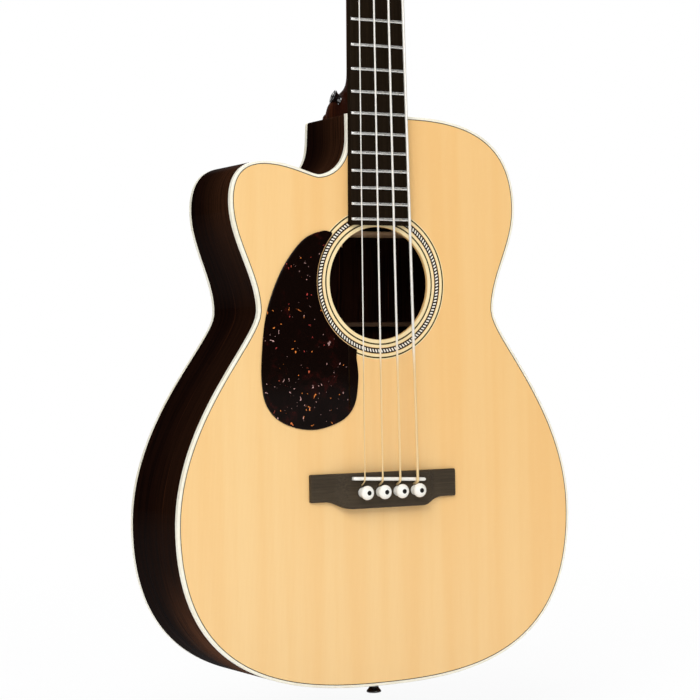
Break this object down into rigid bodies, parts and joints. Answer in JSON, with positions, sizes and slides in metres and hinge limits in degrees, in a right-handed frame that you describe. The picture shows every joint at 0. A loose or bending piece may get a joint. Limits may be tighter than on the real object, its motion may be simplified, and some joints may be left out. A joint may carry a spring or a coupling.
{
  "type": "acoustic bass guitar",
  "caption": "Left-handed flat-top acoustic bass guitar with a rounded cutaway, pinned belly bridge, ring rosette, mottled pickguard, strap button and back-mounted geared tuners.",
  "frame": {"origin": "on the centreline at the nut's front edge, in the plane where the fingerboard is glued to the neck, which is also the plane of the soundboard's face", "axes": "+Z along the neck towards the headstock, +Y from the soundboard's face towards the back, +X towards the thick strings' side"},
  "size_m": [0.4068, 0.1298, 1.2492],
  "materials": {
    "spruce_top": "satin lacquer over pale honey spruce",
    "dark_rosewood": "gloss lacquer over near-black red-brown wood",
    "ivory_trim": "polished ivory-coloured plastic",
    "neck_wood": "gloss stained red-brown wood",
    "dark_board_wood": "oiled dark grey-brown wood",
    "mottled_guard": "polished dark mottled plastic",
    "white_bone": "smooth off-white",
    "black_button": "polished black",
    "block_wood": "bare red-brown wood",
    "pale_inner_wood": "bare pale wood",
    "nickel_plate": "polished nickel plate",
    "string_bronze": "wound pale bronze",
    "steel_rod": "plain steel"
  },
  "bodies": {
    "instrument": {"side_bass": "dark_rosewood", "side_treble": "dark_rosewood", "end_graft": "dark_board_wood", "top_binding": "ivory_trim", "back_binding": "ivory_trim", "top_lining_bass": "pale_inner_wood", "top_lining_treble": "pale_inner_wood", "back_lining_bass": "pale_inner_wood", "back_lining_treble": "pale_inner_wood", "soundboard": "spruce_top", "rosette_inner_ring": "ivory_trim", "rosette_middle_ring": "ivory_trim", "rosette_outer_ring": "ivory_trim", "back_plate": "dark_rosewood", "pickguard": "mottled_guard", "neck_block": "block_wood", "tail_block": "block_wood", "x_brace_one": "pale_inner_wood", "x_brace_two": "pale_inner_wood", "tone_bar_upper": "pale_inner_wood", "tone_bar_lower": "pale_inner_wood", "upper_transverse_brace": "pale_inner_wood", "bridge_plate": "dark_board_wood", "back_brace_lower": "pale_inner_wood", "back_brace_second": "pale_inner_wood", "back_brace_third": "pale_inner_wood", "back_brace_upper": "pale_inner_wood", "back_center_strip": "pale_inner_wood", "end_pin": "black_button", "bridge": "dark_board_wood", "saddle": "white_bone", "headstock_veneer": "dark_rosewood", "tuner_bracket_bass_low": "nickel_plate", "tuner_bracket_bass_high": "nickel_plate", "tuner_bracket_treble_high": "nickel_plate", "tuner_bracket_treble_low": "nickel_plate", "neck": "neck_wood", "heel_cap": "dark_board_wood", "fingerboard": "dark_board_wood", "frets": "nickel_plate", "nut": "white_bone", "strap_button": "black_button", "truss_rod": "steel_rod", "string_e": "string_bronze", "string_a": "string_bronze", "string_d": "string_bronze", "string_g": "string_bronze"},
    "key_bass_low": {"tuner_key_bass_low": "nickel_plate"},
    "post_bass_low": {"tuner_post_bass_low": "nickel_plate"},
    "key_bass_high": {"tuner_key_bass_high": "nickel_plate"},
    "post_bass_high": {"tuner_post_bass_high": "nickel_plate"},
    "key_treble_high": {"tuner_key_treble_high": "nickel_plate"},
    "post_treble_high": {"tuner_post_treble_high": "nickel_plate"},
    "key_treble_low": {"tuner_key_treble_low": "nickel_plate"},
    "post_treble_low": {"tuner_post_treble_low": "nickel_plate"},
    "pin_1": {"bridge_pin_1": "white_bone"},
    "pin_2": {"bridge_pin_2": "white_bone"},
    "pin_3": {"bridge_pin_3": "white_bone"},
    "pin_4": {"bridge_pin_4": "white_bone"},
    "rod_nut": {"truss_rod_nut": "steel_rod"}
  },
  "joints": [
    {"name": "key_bass_low_turn", "type": "hinge", "parent": "instrument", "child": "key_bass_low", "pos_m": [0.021, 0.03449, 0.0587], "axis": [1, 0, 0], "continuous": true},
    {"name": "post_bass_low_turn", "type": "hinge", "parent": "instrument", "child": "post_bass_low", "pos_m": [0.021, 0.01042, 0.0489], "axis": [0, 0.978, -0.2085], "continuous": true},
    {"name": "key_bass_high_turn", "type": "hinge", "parent": "instrument", "child": "key_bass_high", "pos_m": [0.021, 0.0495, 0.12912], "axis": [1, 0, 0], "continuous": true},
    {"name": "post_bass_high_turn", "type": "hinge", "parent": "instrument", "child": "post_bass_high", "pos_m": [0.021, 0.02543, 0.11932], "axis": [0, 0.978, -0.2085], "continuous": true},
    {"name": "key_treble_high_turn", "type": "hinge", "parent": "instrument", "child": "key_treble_high", "pos_m": [-0.021, 0.0495, 0.12912], "axis": [1, 0, 0], "continuous": true},
    {"name": "post_treble_high_turn", "type": "hinge", "parent": "instrument", "child": "post_treble_high", "pos_m": [-0.021, 0.02543, 0.11932], "axis": [0, 0.978, -0.2085], "continuous": true},
    {"name": "key_treble_low_turn", "type": "hinge", "parent": "instrument", "child": "key_treble_low", "pos_m": [-0.021, 0.03449, 0.0587], "axis": [1, 0, 0], "continuous": true},
    {"name": "post_treble_low_turn", "type": "hinge", "parent": "instrument", "child": "post_treble_low", "pos_m": [-0.021, 0.01042, 0.0489], "axis": [0, 0.978, -0.2085], "continuous": true},
    {"name": "pin_1_pull", "type": "slide", "parent": "instrument", "child": "pin_1", "axis": [0, -1, 0], "range_m": [0, 0.03]},
    {"name": "pin_2_pull", "type": "slide", "parent": "instrument", "child": "pin_2", "axis": [0, -1, 0], "range_m": [0, 0.03]},
    {"name": "pin_3_pull", "type": "slide", "parent": "instrument", "child": "pin_3", "axis": [0, -1, 0], "range_m": [0, 0.03]},
    {"name": "pin_4_pull", "type": "slide", "parent": "instrument", "child": "pin_4", "axis": [0, -1, 0], "range_m": [0, 0.03]},
    {"name": "rod_nut_turn", "type": "hinge", "parent": "instrument", "child": "rod_nut", "pos_m": [0, 0.0085, -0.6], "axis": [0, 0, 1], "range_deg": [-180, 180]}
  ],
  "couplings": [
    {"joint": "post_bass_low_turn", "follows": "key_bass_low_turn", "ratio": 0.05},
    {"joint": "post_bass_high_turn", "follows": "key_bass_high_turn", "ratio": 0.05},
    {"joint": "post_treble_high_turn", "follows": "key_treble_high_turn", "ratio": -0.05},
    {"joint": "post_treble_low_turn", "follows": "key_treble_low_turn", "ratio": -0.05}
  ]
}
